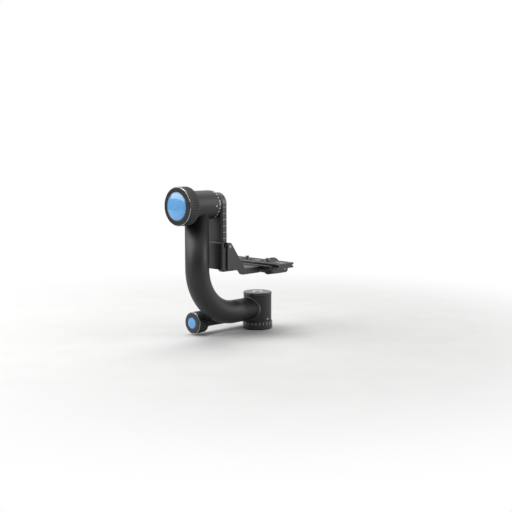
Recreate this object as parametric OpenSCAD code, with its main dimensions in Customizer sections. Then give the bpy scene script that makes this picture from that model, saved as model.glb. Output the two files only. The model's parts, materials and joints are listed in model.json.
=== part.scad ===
// Gimbal head for a long lens on a tripod.
// A J-shaped arm turns on the base about the upright pan axis. The arm's upper end carries the level
// tilt axis, and from it hangs a rail with a height-adjustable cradle and a dovetail lens clamp.
// Millimetres. The origin is the centre of the base's underside, +Z is up, the arm's upright stands on
// the -X side, the tilt axis runs along X and the lens points along -Y.

/* [Base] */
// Diameter of the fixed base and its graduated ring
base_d = 50; // [49.4:0.2:54]
// Height of the base's plain lower band
base_h = 7; // [6:0.5:9]
// Height of the graduated pan ring
pan_ring_h = 6.5; // [6:0.5:8]
// Bevel around the base's lower edge
base_bevel = 1; // [0.5:0.1:1.5]
// Diameter of the tripod thread, 1/4 or 3/8 inch
thread_d = 9.525; // [6.35, 9.525]
// Depth of the tripod thread
thread_depth = 12; // [9:0.5:12]
// Wall of the steel thread insert
insert_wall = 2.2; // [1.5:0.1:2.6]

/* [Pan hub] */
// Diameter of the pan hub's barrel
hub_d = 47; // [46:0.2:49]
// Height of barrel below the arm tube
hub_foot = 2.6; // [2:0.1:5]
// Height of barrel above the arm tube
hub_rim = 3.5; // [3:0.1:6]
// Diameter of the cap on the hub
cap_d = 48; // [46:0.2:50]
// Height of the cap above the hub
cap_h = 4.3; // [4:0.1:6]
// Diameter of the round bubble level's cup
level_d = 18; // [14:0.5:22]

/* [Arm] */
// Distance from the pan axis to the arm's upright
arm_x = 137; // [130:1:145]
// Diameter of the arm tube
arm_d = 38; // [34:0.5:38.5]
// Wall of the arm tube
arm_wall = 5; // [3:0.5:7]
// Radius of the arm's bend, at the tube's centre
bend_r = 79; // [77:1:84]
// Height from the arm's level stretch to the tilt axis
arm_rise = 178; // [170:1:195]

/* [Bearings] */
// Bore of the four ball bearings
bearing_bore = 20; // [18:0.5:20]
// Outside diameter of the four ball bearings
bearing_d = 36; // [35:0.5:37]
// Width of each ball bearing
bearing_w = 8; // [7:0.5:8]
// Diameter of the balls
ball_d = 5; // [4:0.1:5]
// Balls in each bearing
ball_count = 12; // [8:1:13]

/* [Tilt head] */
// Diameter of the tilt housing
housing_d = 46; // [44:0.5:50]
// Length of the housing from the upright's centre towards the rail
housing_in = 26.5; // [25:0.5:32]
// Length of the housing from the upright's centre towards the knob
housing_out = 19.5; // [19.5:0.5:22]
// Diameter of the graduated tilt ring
tilt_ring_d = 45; // [42:0.5:48]
// Width of the graduated tilt ring
tilt_ring_w = 4.2; // [3:0.1:6]
// Diameter of the shaft's flange behind the rail
flange_d = 36; // [34:0.5:38]
// Length of the flange between the tilt ring and the rail
flange_w = 4.5; // [4.2:0.1:8]

/* [Knobs] */
// Diameter of the tilt knob
tilt_knob_d = 60.5; // [52:0.5:66]
// Length of the tilt knob
tilt_knob_l = 21.7; // [18:0.1:26]
// Diameter of the pan knob
pan_knob_d = 35.4; // [30:0.2:36.6]
// Length of the pan knob
pan_knob_l = 22.3; // [18:0.1:25]
// Distance of the pan lock's axis behind the pan axis
pan_lock_y = 30.5; // [30.5:0.1:34]
// Height of the pan lock's axis above the base ring
pan_lock_up = 7; // [6:0.1:8]
// Diameter of the pan lock's sleeve
sleeve_d = 20.6; // [16:0.2:21]
// Length of the pan lock's sleeve
sleeve_l = 73; // [71:1:80]
// Diameter of the height knob
height_knob_d = 27; // [22:0.5:29]
// Length of the height knob
height_knob_l = 18; // [15:0.5:20]
// Diameter of the clamp knob
clamp_knob_d = 28; // [22:0.5:32]
// Length of the clamp knob
clamp_knob_l = 20; // [16:0.5:22]
// Spacing of the ribs round the rubber grips
rib_pitch = 3.9; // [3.5:0.1:6]
// Width of the flat ring round each knob's badge
face_ring_w = 6; // [5:0.1:7]
// Wall of the rubber grips
grip_wall = 3; // [2.4:0.1:3.4]

/* [Swing rail] */
// Width of the rail
rail_w = 38; // [36:0.5:38]
// Thickness of the rail
rail_t = 11.5; // [10:0.1:13]
// Bevel along the rail's outer edges
rail_bevel = 3; // [1.5:0.1:3.4]
// Length of the rail below the tilt axis
rail_l = 103; // [101.5:0.5:112]

/* [Cradle] */
// Width of the cradle bracket
cradle_w = 54; // [52:0.5:60]
// Height of the cradle's sleeve round the rail
cradle_h = 43; // [42:0.5:52]
// Travel of the cradle up the rail
height_travel = 33; // [28:0.5:33]
// Thickness of the cradle's plate behind the rail
rear_plate_t = 3.7; // [3:0.1:4.2]
// Thickness of the cradle's web in front of the rail
web_t = 7.7; // [5:0.1:9]
// Slope of the cheeks' edges
cheek_slope = 55; // [52:1:58]
// Radius of the cheeks' rounded tops
cheek_r = 6; // [5:0.1:7]
// Thickness of the platform that reaches under the lens
platform_t = 10.8; // [10:0.1:12]
// Thickness of the platform's plate between its two ribs
platform_web_t = 3.6; // [3:0.1:5]
// Slope of the platform's heel
heel_slope = 56; // [50:1:65]
// Radius under the platform's heel
heel_r = 6; // [3:0.5:9]

/* [Clamp] */
// Length of the clamp's jaws
clamp_l = 104; // [80:1:104]
// Width of the clamp
clamp_w = 45; // [44:0.5:50]
// Width of the clamp's underside
clamp_foot_w = 30; // [30:0.5:38]
// Thickness of the clamp's floor
clamp_floor = 8.5; // [7.4:0.1:9]
// Opening travel of the moving jaw
jaw_travel = 3; // [2:0.1:4]

/* [Lens plate] */
// Length of the lens plate
plate_l = 128; // [120:1:160]
// Width of the lens plate's dovetail
plate_w = 38; // [37:0.1:39]
// Thickness of the lens plate
plate_t = 8.5; // [8:0.1:9.5]
// Diameter of the lens screws, 1/4 or 3/8 inch
lens_screw_d = 6.35; // [6.35, 9.525]
// Length of lens screw standing out of the plate
lens_screw_out = 5; // [4:0.5:6]

/* [Fits] */
// Radial play of a shaft or screw in its bore
run_gap = 0.05; // [0.03:0.01:0.08]
// Play between parts that slide or turn on flat faces
face_gap = 0.3; // [0.2:0.05:0.4]
// Play between a ball and its tracks
ball_gap = 0.3; // [0.2:0.05:0.35]

/* [Hidden] */
$fn = 64;

// Colours, as the object shows them
black_anodised = "#26272a";
arm_paint = "#2b2c2e";
grip_rubber = "#1a1a1b";
badge_blue = "#1f74c4";
bright_metal = "#c9cbcd";
steel = "#8d9093";
brass = "#b08d46";
gib_plastic = "#3a3b3d";
level_fluid = "#b9d24a";

// Heights of the pan group
ring_top = base_h + pan_ring_h;
hub_z0 = ring_top + face_gap;
arm_z = hub_z0 + hub_foot + arm_d / 2;
hub_top = arm_z + arm_d / 2 + hub_rim;
bearing_lift = 13.7;
bearing_drop = 5.5;
bearing_z1 = hub_z0 + bearing_lift;
bearing_z2 = hub_top - bearing_w - bearing_drop;
nut_h = 3.5;
nut_lift = 0.3;
spindle_top = bearing_z2 + bearing_w + nut_lift + nut_h;
spindle_flange_r = 18.6;
spindle_flange_drop = 0.5;
drum_r = 15;
drum_top = bearing_z1 - 1;
drum_play = 1;
shoulder_step = 2;
spindle_screw_pcr = 13.2;
spindle_screw_r = 1.9;
spindle_head_r = 3.9;
spindle_head_z = 0.5;
spindle_head_h = 2.2;
spindle_tap = 1.5;
nut_wall = 3.5;
nut_slot = 3;
cap_spigot = 1;
cap_groove = 0.8;
cap_groove_r = 0.6;
cap_edge = 0.7;
level_sink = 3.6;
level_lip = 0.3;
level_wall = 1.4;
level_floor = 0.6;
level_dome = 0.6;
bead_out = 0.8;
bead_up = 0.7;
spacer_wall = 2;

// Bearing sections
race_t = 2.6;
bearing_r = bearing_d / 2;
bore_r = bearing_bore / 2;
track_r = (bearing_r + bore_r) / 2;
race_in = bore_r + race_t;
race_out = bearing_r - race_t;

// Pan lock
lock_z = ring_top + pan_lock_up;
lock_r = 5;
boss_r = sleeve_d / 2 + 0.2;
boss_x0 = -26;
boss_x1 = 12;
boss_bridge = 11;
boss_bridge_top = 9.4;
lock_tip = 6;
lock_tip_r = 1;
sleeve_lip = 1;
sleeve_taper = 0.75;
shoe_r = 4;
shoe_in = drum_r + face_gap;
shoe_out = pan_lock_y - lock_r + 0.9;
pan_knob_x = boss_x0 - sleeve_l - face_gap - pan_knob_l;

// Knobs
knob_chamfer = 1.8;
knob_rim = 1.2;
grip_end = 2.2;
grip_lip = 2.6;
badge_sink = 0.9;
badge_t = 0.9;
badge_dome = 1;
rib_r = 0.8;
rib_out = 0.25;
lock_screw_in = 12;
height_screw_in = 10;
clamp_screw_in = 11;

// Tilt head, along X
tilt_z = arm_z + arm_rise;
housing_x0 = -arm_x - housing_out;
housing_x1 = -arm_x + housing_in;
housing_bore_r = 15.5;
end_cap_t = 4.5;
end_cap_r = 18;
tilt_b1_in = 9;
tilt_b1 = housing_x0 + end_cap_t + tilt_b1_in;
tilt_b2 = housing_x1 - bearing_w - 0.6;
ring_x0 = housing_x1 + face_gap;
ring_x1 = ring_x0 + tilt_ring_w;
rail_x0 = ring_x1 + flange_w;
rail_x1 = rail_x0 + rail_t;
shaft_x0 = tilt_b1 - 1.4;
pad_t = 3;
housing_edge = 1;
ring_edge = 0.6;
tilt_knob_x = housing_x0 - face_gap - tilt_knob_l;
spigot_r = 6;
spigot_l = 4;

// Rail
rail_half = rail_w / 2;
rail_front_bevel = 0.6;
rail_z0 = tilt_z - rail_l;
rail_screw_pcd = 25;
rail_screw_r = 2.5;
rail_head_r = 4.2;
rail_head_h = 4.6;
rail_head_sink = 0.4;
rail_hex_r = 2.3;
rail_hex_h = 2.4;
rail_tap = 7;
stop_pin_r = 2.5;
stop_pin_sink = 4;

// Cradle
cradle_z0 = rail_z0;
cradle_z1 = cradle_z0 + cradle_h;
cradle_half = cradle_w / 2;
rear_x = rail_x0 - face_gap;
rear_half = cradle_half - 3;
rear_bevel = 1.5;
rear_lift = 0.4;
web_x0 = rail_x1 + face_gap;
web_x1 = web_x0 + web_t;
gib_t = 1.2;
gib_short = 10;
gib_y0 = rail_half + 0.2;
channel_half = gib_y0 + gib_t;
arch_x = rail_x1 - 1.4;
arch_z = cradle_z1 - cheek_r;
arch_dx = cheek_r * sin(cheek_slope);
arch_dz = cheek_r * cos(cheek_slope);
recess_x = rail_x0 + 5.3;
platform_top = cradle_z0 - 0.5;
platform_z0 = platform_top - platform_t;
platform_back = 11;
platform_x0 = web_x1 + platform_back;
platform_end_t = 9.5;
toe_x = arch_x + arch_dx + (arch_z + arch_dz - platform_top) / tan(cheek_slope);
heel_x = platform_x0 + heel_r * sin(heel_slope)
    + (cradle_z0 - platform_z0 - heel_r * (1 - cos(heel_slope))) / tan(heel_slope);
floor_z = platform_top + 0.6;
root_run = 18;
root_rise = 10;
stop_z = arch_z + 1;
slot_r = stop_pin_r + face_gap;
edge_bevel = 1;
rear_screw_r = 1;
rear_screw_in = 4.5;
rear_head_r = 1.6;
rear_head_h = 1.4;
rear_head_sink = 1.3;
rear_screw_y = (channel_half + rear_half) / 2;
rear_screw_low = 7;
rear_screw_high = 29;
rear_screw_z = [cradle_z0 + rear_screw_low, cradle_z0 + rear_screw_high];
gib_screw_r = 1.55;
gib_screw_z0 = 0.6;
gib_head_r = 2.4;
gib_head_h = 1;
gib_hex_r = 1.1;
lock_pad_t = 2.4;

// Height lock
height_x = (rail_x0 + rail_x1) / 2;
height_lift = 22;
height_z = cradle_z0 + height_lift;
height_r = 3;
height_boss_r = rail_t / 2;
height_boss_l = 3;
height_face = cradle_half + height_boss_l;

// Clamp and lens plate
clamp_z0 = platform_z0 - 0.7;
clamp_top = clamp_z0 + clamp_floor;
clamp_half = clamp_w / 2;
foot_half = clamp_foot_w / 2;
foot_rise = 6;
plate_half = plate_w / 2;
plate_z0 = clamp_top + 0.2;
plate_flange = 1.5;
plate_neck = 2.8;
jaw_side = 0.2;
jaw_split = 13.7;
jaw_bevel = 1;
jaw_end_bevel = 4;
jaw_top = plate_z0 + plate_flange + plate_neck + 0.6;
slab_z0 = jaw_top + 0.2;
plate_top = plate_z0 + plate_t;
clamp_axis_z = clamp_z0 + 4;
clamp_screw_x = [-12, 3];
clamp_screw_y = 14;
clamp_bolt_r = 2;
clamp_bolt_l = 7.2;
clamp_bolt_head_r = 3.6;
clamp_bolt_head_h = 0.6;
clamp_bolt_hex_r = 1.3;
guide_in = 4;
guide_bore_in = 9;
clamp_screw_reach = 12;
clamp_r = 3;
guide_r = 2.5;
guide_y = 0.32 * clamp_l;
tongue_y0 = 8;
tongue_y1 = 20;
tongue_x1 = 8;
tongue_t = 3.7;
pad_proud = 0.4;
pad_sink = 0.5;
pad_x0 = 7.5;
pad_x1 = 15.5;
pad_end = 7;
lens_screw_y = 24;
lens_slot_half = 14;
lens_head_r = lens_screw_d / 2 + 3.2;
lens_head_h = 3.4;
lens_undercut = 0.4;
lens_driver_slot = 1.4;
stop_y = plate_l / 2 - 3;
stop_r = 2.2;
stop_screw_r = 1.5;
stop_head_h = 1.9;
stop_screw_in = 3.5;
plate_edge = 0.6;

// Puts a child drawn along +Z onto an axis along +X, -X, +Y or -Y
module facing_x(p) { translate(p) rotate([0, 90, 0]) children(); }
module facing_back_x(p) { translate(p) rotate([0, -90, 0]) children(); }
module facing_y(p) { translate(p) rotate([-90, 0, 0]) children(); }
module facing_back_y(p) { translate(p) rotate([90, 0, 0]) children(); }

// A bored cylinder
module tube(r_out, r_in, h) {
    difference() {
        cylinder(r = r_out, h = h);
        translate([0, 0, -1]) cylinder(r = r_in, h = h + 2);
    }
}

// A profile drawn in X and Z, extruded across Y from -half to half
module across_y(half) {
    translate([0, half, 0]) rotate([90, 0, 0]) linear_extrude(2 * half) children();
}

// ---- Ball bearings ----------------------------------------------------------------------------
module track(h) {
    translate([0, 0, h / 2]) rotate_extrude() translate([track_r, 0]) circle(r = ball_d / 2 + ball_gap);
}
module inner_race() {
    difference() { tube(race_in, bore_r, bearing_w); track(bearing_w); }
}
module outer_race() {
    difference() { tube(bearing_r, race_out, bearing_w); track(bearing_w); }
}
module ball_set() {
    for (i = [0 : ball_count - 1])
        rotate([0, 0, i * 360 / ball_count]) translate([track_r, 0, bearing_w / 2]) sphere(r = ball_d / 2);
}
module pan_bearings() {
    for (z = [bearing_z1, bearing_z2]) translate([0, 0, z]) children();
}
module tilt_bearings() {
    for (x = [tilt_b1, tilt_b2]) facing_x([x, 0, tilt_z]) children();
}

// ---- Knobs, drawn with the face at z = 0 and the back at z = l ------------------------------------
function badge_r(d) = d / 2 - knob_chamfer - face_ring_w;
function rib_count(d) = round(PI * d / rib_pitch);

// Turned core with a polished chamfer, a pocket for the badge and a bore for its screw
module knob_core(d, l, screw_r, screw_depth) {
    r = d / 2;
    difference() {
        rotate_extrude() polygon([
            [0, badge_sink], [badge_r(d), badge_sink], [badge_r(d), 0], [r - knob_chamfer, 0],
            [r, knob_chamfer], [r, knob_chamfer + knob_rim], [r - grip_wall, knob_chamfer + knob_rim],
            [r - grip_wall, l - grip_end], [r - 2 * grip_wall, l], [0, l]
        ]);
        translate([0, 0, l - screw_depth]) cylinder(r = screw_r, h = screw_depth + 1);
    }
}

// Rubber sleeve with axial grooves and a rounded back edge
module knob_grip(d, l) {
    r = d / 2;
    z0 = knob_chamfer + knob_rim;
    difference() {
        rotate_extrude() polygon([
            [r - grip_wall, z0], [r, z0], [r, l - grip_end],
            for (a = [30 : 30 : 90]) [r - grip_end * (1 - cos(a)), l - grip_end * (1 - sin(a))],
            [r - grip_wall, l]
        ]);
        for (i = [0 : rib_count(d) - 1])
            rotate([0, 0, i * 360 / rib_count(d)]) translate([r + rib_out, 0, z0 + grip_lip])
                cylinder(r = rib_r, h = l, $fn = 24);
    }
}

// Disc with a shallow dome on top, drawn from z = 0 up to its crown at h
module domed_disc(r, h, rise) {
    dome_r = (r * r + rise * rise) / (2 * rise);
    sweep = asin(r / dome_r);
    rotate_extrude() polygon([
        [0, 0], [r, 0],
        for (i = [6 : -1 : 0]) [dome_r * sin(sweep * i / 6), h - dome_r * (1 - cos(sweep * i / 6))]
    ]);
}

// Domed disc that fills the pocket in the knob's face
module knob_badge(d) {
    translate([0, 0, badge_sink]) mirror([0, 0, 1])
        domed_disc(badge_r(d) - 0.1, badge_t + badge_dome, badge_dome);
}

// ---- Base: stands still on the tripod -----------------------------------------------------------
module base_disc() {
    r = base_d / 2;
    color(black_anodised) difference() {
        rotate_extrude() polygon([
            [0, 0], [r - base_bevel, 0], [r, base_bevel], [r, base_h], [0, base_h]
        ]);
        translate([0, 0, -1]) cylinder(r = insert_r(), h = base_h + 2);
        spindle_screw_places() {
            translate([0, 0, -1])
                cylinder(r = spindle_head_r + 0.2, h = spindle_head_z + spindle_head_h + 1.2);
            cylinder(r = spindle_screw_r + 0.2, h = base_h + 1);
        }
    }
}
function insert_r() = thread_d / 2 + insert_wall;
module spindle_screw_places() {
    for (a = [45 : 90 : 315]) rotate([0, 0, a]) translate([spindle_screw_pcr, 0, 0]) children();
}
module thread_insert() {
    color(steel) tube(insert_r(), thread_d / 2, thread_depth);
}
module pan_scale_ring() {
    r = base_d / 2;
    color(black_anodised) translate([0, 0, base_h]) rotate_extrude() polygon([
        [spindle_flange_r + run_gap, 0], [r, 0], [r, pan_ring_h - 0.5], [r - 0.5, pan_ring_h],
        [spindle_flange_r + run_gap, pan_ring_h]
    ]);
}
module pan_spindle() {
    color(steel) difference() {
        rotate_extrude() polygon([
            [0, base_h], [spindle_flange_r, base_h], [spindle_flange_r, ring_top - spindle_flange_drop],
            [drum_r, ring_top - spindle_flange_drop], [drum_r, drum_top], [bore_r + shoulder_step, drum_top],
            [bore_r + shoulder_step, bearing_z1], [bore_r, bearing_z1], [bore_r, spindle_top],
            [0, spindle_top]
        ]);
        translate([0, 0, base_h - 1]) cylinder(r = insert_r(), h = thread_depth - base_h + 1.2);
        spindle_screw_places() translate([0, 0, base_h - 1])
            cylinder(r = spindle_screw_r + 0.1, h = spindle_tap + 4);
    }
}
module spindle_screws() {
    color(steel) spindle_screw_places() difference() {
        union() {
            translate([0, 0, spindle_head_z]) cylinder(r = spindle_head_r, h = spindle_head_h);
            translate([0, 0, spindle_head_z + spindle_head_h])
                cylinder(r = spindle_screw_r, h = base_h + spindle_tap);
        }
        translate([0, 0, spindle_head_z - 1]) cylinder(r = 1.4, h = 2.5, $fn = 6);
    }
}
module pan_inner_races() { color(steel) pan_bearings() inner_race(); }
module pan_retaining_nut() {
    color(steel) translate([0, 0, bearing_z2 + bearing_w + nut_lift]) difference() {
        tube(bore_r + nut_wall, bore_r, nut_h);
        for (a = [0 : 90 : 270]) rotate([0, 0, a])
            translate([bore_r + nut_wall - 1.3, -nut_slot / 2, nut_h - nut_slot / 2]) cube(nut_slot);
    }
}

// ---- Pan hub and arm: turn about Z ----------------------------------------------------------------
module pan_hub() {
    r = hub_d / 2;
    color(arm_paint) difference() {
        union() {
            translate([0, 0, hub_z0]) cylinder(r = r, h = hub_top - cap_groove - hub_z0);
            translate([0, 0, hub_top - cap_groove - 0.5])
                cylinder(r = r - cap_groove_r, h = cap_groove + 0.5);
            intersection() {
                union() {
                    facing_x([boss_x0, pan_lock_y, lock_z]) cylinder(r = boss_r, h = boss_x1 - boss_x0);
                    translate([-boss_bridge, 0, hub_z0])
                        cube([2 * boss_bridge, pan_lock_y, lock_z + boss_bridge_top - hub_z0]);
                }
                translate([boss_x0 - 1, 0, hub_z0])
                    cube([boss_x1 - boss_x0 + 2, pan_lock_y + boss_r + 1, 2 * boss_r + 4]);
            }
        }
        translate([0, 0, hub_z0 - 1]) cylinder(r = drum_r + drum_play, h = bearing_z1 - hub_z0 + 1.5);
        translate([0, 0, bearing_z1]) cylinder(r = bearing_r, h = hub_top - bearing_z1 + 1);
        facing_x([boss_x0 - 1, pan_lock_y, lock_z])
            cylinder(r = lock_r + run_gap, h = 1 - boss_x0 + lock_tip / 2 + 1);
        facing_y([0, 0, lock_z]) cylinder(r = shoe_r + run_gap, h = pan_lock_y);
    }
}
module pan_outer_races() { color(steel) pan_bearings() outer_race(); }
module pan_balls() { color(bright_metal) pan_bearings() ball_set(); }
module pan_bearing_spacer() {
    z = bearing_z1 + bearing_w;
    color(bright_metal) translate([0, 0, z]) tube(bearing_r, bearing_r - spacer_wall, bearing_z2 - z);
}
module hub_cap() {
    r = cap_d / 2;
    h = hub_top + cap_h;
    color(black_anodised) difference() {
        rotate_extrude() polygon([
            [0, hub_top - cap_spigot], [bearing_r - run_gap, hub_top - cap_spigot],
            [bearing_r - run_gap, hub_top], [r, hub_top], [r, h - cap_edge], [r - cap_edge, h], [0, h]
        ]);
        translate([0, 0, h - level_sink]) cylinder(r = level_d / 2, h = level_sink + 1);
    }
}
module level_cup() {
    h = level_sink + level_lip;
    color(bright_metal) translate([0, 0, hub_top + cap_h - level_sink]) difference() {
        cylinder(r = level_d / 2, h = h);
        translate([0, 0, level_floor]) cylinder(r = level_d / 2 - level_wall, h = h);
    }
}
module level_vial() {
    color(level_fluid) translate([0, 0, hub_top + cap_h - level_sink + level_floor])
        domed_disc(level_d / 2 - level_wall, level_sink - level_floor + level_lip + 0.1, level_dome);
}
module pan_lock_sleeve() {
    r = sleeve_d / 2;
    color(arm_paint) facing_x([boss_x0 - sleeve_l, pan_lock_y, lock_z]) difference() {
        rotate_extrude() polygon([
            [0, 0], [r - sleeve_lip - 0.6, 0], [r - 0.6, sleeve_lip], [r, sleeve_l * sleeve_taper],
            [r, sleeve_l], [0, sleeve_l]
        ]);
        translate([0, 0, -1]) cylinder(r = lock_r + run_gap, h = sleeve_l + 2);
    }
}
module pan_brake_shoe() {
    color(brass) facing_y([0, shoe_in, lock_z]) cylinder(r = shoe_r, h = shoe_out - shoe_in);
}
module arm_bar(r) {
    facing_back_x([0, 0, arm_z]) cylinder(r = r, h = arm_x - bend_r);
    translate([bend_r - arm_x, 0, arm_z + bend_r]) rotate([90, 0, 0]) rotate([0, 0, 180])
        rotate_extrude(angle = 90, $fn = 128) translate([bend_r, 0]) circle(r = r);
    translate([-arm_x, 0, arm_z + bend_r]) cylinder(r = r, h = arm_rise - bend_r);
}
module arm_tube() {
    color(arm_paint) difference() {
        arm_bar(arm_d / 2);
        arm_bar(arm_d / 2 - arm_wall);
        translate([0, 0, hub_z0]) cylinder(r = hub_d / 2, h = hub_top - hub_z0);
        facing_x([-arm_x - arm_d, 0, tilt_z]) cylinder(r = housing_d / 2, h = 2 * arm_d);
    }
}
module arm_seam_bead() {
    color(arm_paint) intersection() {
        facing_back_x([0, 0, arm_z]) tube(arm_d / 2 + bead_up, arm_d / 2, hub_d);
        translate([0, 0, hub_z0]) tube(hub_d / 2 + bead_out, hub_d / 2, hub_top - hub_z0);
    }
}
module tilt_housing() {
    r = housing_d / 2;
    l = housing_x1 - housing_x0;
    color(arm_paint) facing_x([housing_x0, 0, tilt_z]) difference() {
        rotate_extrude() polygon([
            [0, 0], [r - housing_edge, 0], [r, housing_edge], [r, l - ring_edge], [r - ring_edge, l], [0, l]
        ]);
        translate([0, 0, -1]) cylinder(r = housing_bore_r, h = l + 2);
        translate([0, 0, -1]) cylinder(r = bearing_r, h = tilt_b1 + bearing_w - housing_x0 + 1);
        translate([0, 0, tilt_b2 - housing_x0]) cylinder(r = bearing_r, h = l);
    }
}
module tilt_end_cap() {
    color(black_anodised) facing_x([housing_x0, 0, tilt_z])
        tube(bearing_r, lock_r + run_gap, end_cap_t);
}
module tilt_outer_races() { color(steel) tilt_bearings() outer_race(); }
module tilt_balls() { color(bright_metal) tilt_bearings() ball_set(); }
module tilt_brake_pad() {
    color(brass) facing_x([shaft_x0 - face_gap - pad_t, 0, tilt_z]) cylinder(r = bore_r - 1, h = pad_t);
}

// ---- Pan knob: turns in its sleeve ---------------------------------------------------------------
module pan_knob_place() { facing_x([pan_knob_x, pan_lock_y, lock_z]) children(); }
module pan_knob_core() {
    color(black_anodised) pan_knob_place() knob_core(pan_knob_d, pan_knob_l, lock_r, lock_screw_in);
}
module pan_knob_grip() { color(grip_rubber) pan_knob_place() knob_grip(pan_knob_d, pan_knob_l); }
module pan_knob_badge() { color(badge_blue) pan_knob_place() knob_badge(pan_knob_d); }
module pan_lock_screw() {
    x0 = pan_knob_x + pan_knob_l - lock_screw_in;
    color(steel) facing_x([x0, pan_lock_y, lock_z]) {
        cylinder(r = lock_r, h = -lock_tip - x0);
        translate([0, 0, -lock_tip - x0]) cylinder(r1 = lock_r, r2 = lock_tip_r, h = lock_tip);
    }
}

// ---- Tilt knob: turns in the housing's end cap ---------------------------------------------------
module tilt_knob_place() { facing_x([tilt_knob_x, 0, tilt_z]) children(); }
module tilt_knob_core() {
    color(black_anodised) tilt_knob_place() knob_core(tilt_knob_d, tilt_knob_l, lock_r, lock_screw_in);
}
module tilt_knob_grip() { color(grip_rubber) tilt_knob_place() knob_grip(tilt_knob_d, tilt_knob_l); }
module tilt_knob_badge() { color(badge_blue) tilt_knob_place() knob_badge(tilt_knob_d); }
module tilt_lock_screw() {
    x0 = tilt_knob_x + tilt_knob_l - lock_screw_in;
    x1 = shaft_x0 - face_gap - pad_t - face_gap;
    color(steel) facing_x([x0, 0, tilt_z]) cylinder(r = lock_r, h = x1 - x0);
}

// ---- Tilt shaft and swing rail: turn about X ------------------------------------------------------
module tilt_shaft() {
    shoulder = ring_x0;
    color(steel) difference() {
        facing_x([shaft_x0, 0, tilt_z]) rotate_extrude() polygon([
            [0, 0], [bore_r, 0], [bore_r, tilt_b2 + bearing_w - shaft_x0],
            [bore_r + shoulder_step, tilt_b2 + bearing_w - shaft_x0],
            [bore_r + shoulder_step, shoulder - shaft_x0],
            [flange_d / 2, shoulder - shaft_x0], [flange_d / 2, rail_x0 - shaft_x0],
            [spigot_r, rail_x0 - shaft_x0], [spigot_r, rail_x0 - shaft_x0 + spigot_l],
            [0, rail_x0 - shaft_x0 + spigot_l]
        ]);
        rail_screw_places(rail_x0 - rail_tap) cylinder(r = rail_screw_r, h = rail_tap + 1);
    }
}
module rail_screw_places(x) {
    for (a = [45 : 90 : 315]) facing_x([x, 0, tilt_z]) rotate([0, 0, a])
        translate([rail_screw_pcd / 2, 0, 0]) children();
}
module tilt_inner_races() { color(steel) tilt_bearings() inner_race(); }
module tilt_scale_ring() {
    r = tilt_ring_d / 2;
    w = tilt_ring_w;
    color(black_anodised) facing_x([ring_x0, 0, tilt_z]) rotate_extrude() polygon([
        [flange_d / 2, 0], [r, 0], [r, w - ring_edge], [r - ring_edge, w], [flange_d / 2, w]
    ]);
}
module rail_outline() {
    polygon([
        [rail_x0, -rail_half + rail_bevel], [rail_x0 + rail_bevel, -rail_half],
        [rail_x1 - rail_front_bevel, -rail_half], [rail_x1, -rail_half + rail_front_bevel],
        [rail_x1, rail_half - rail_front_bevel], [rail_x1 - rail_front_bevel, rail_half],
        [rail_x0 + rail_bevel, rail_half], [rail_x0, rail_half - rail_bevel]
    ]);
}
module swing_rail() {
    color(black_anodised) difference() {
        intersection() {
            translate([0, 0, rail_z0]) linear_extrude(rail_l + rail_half) rail_outline();
            union() {
                facing_x([rail_x0 - 1, 0, tilt_z]) cylinder(r = rail_half, h = rail_t + 2, $fn = 128);
                translate([rail_x0 - 1, -rail_half - 1, rail_z0 - 1])
                    cube([rail_t + 2, rail_w + 2, rail_l + 1]);
            }
        }
        facing_x([rail_x0 - 1, 0, tilt_z]) cylinder(r = spigot_r, h = spigot_l + 1.2);
        rail_screw_places(rail_x0 - 1) cylinder(r = rail_screw_r, h = rail_t + 2);
        rail_screw_places(rail_x1 - rail_head_h - rail_head_sink) cylinder(r = rail_head_r + 0.2, h = rail_t);
        facing_x([rail_x0 + stop_pin_sink, 0, stop_z]) cylinder(r = stop_pin_r, h = rail_t);
    }
}
module rail_screws() {
    shank = rail_t - rail_head_h + 4;
    color(steel) rail_screw_places(rail_x1 - rail_head_h - rail_head_sink) difference() {
        union() {
            cylinder(r = rail_head_r, h = rail_head_h);
            translate([0, 0, -shank]) cylinder(r = rail_screw_r, h = shank);
        }
        translate([0, 0, rail_head_h - rail_hex_h]) cylinder(r = rail_hex_r, h = rail_head_h, $fn = 6);
    }
}
module rail_stop_pin() {
    color(steel) facing_x([rail_x0 + stop_pin_sink, 0, stop_z])
        cylinder(r = stop_pin_r, h = web_x1 - 1.5 - rail_x0 - stop_pin_sink);
}

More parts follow.
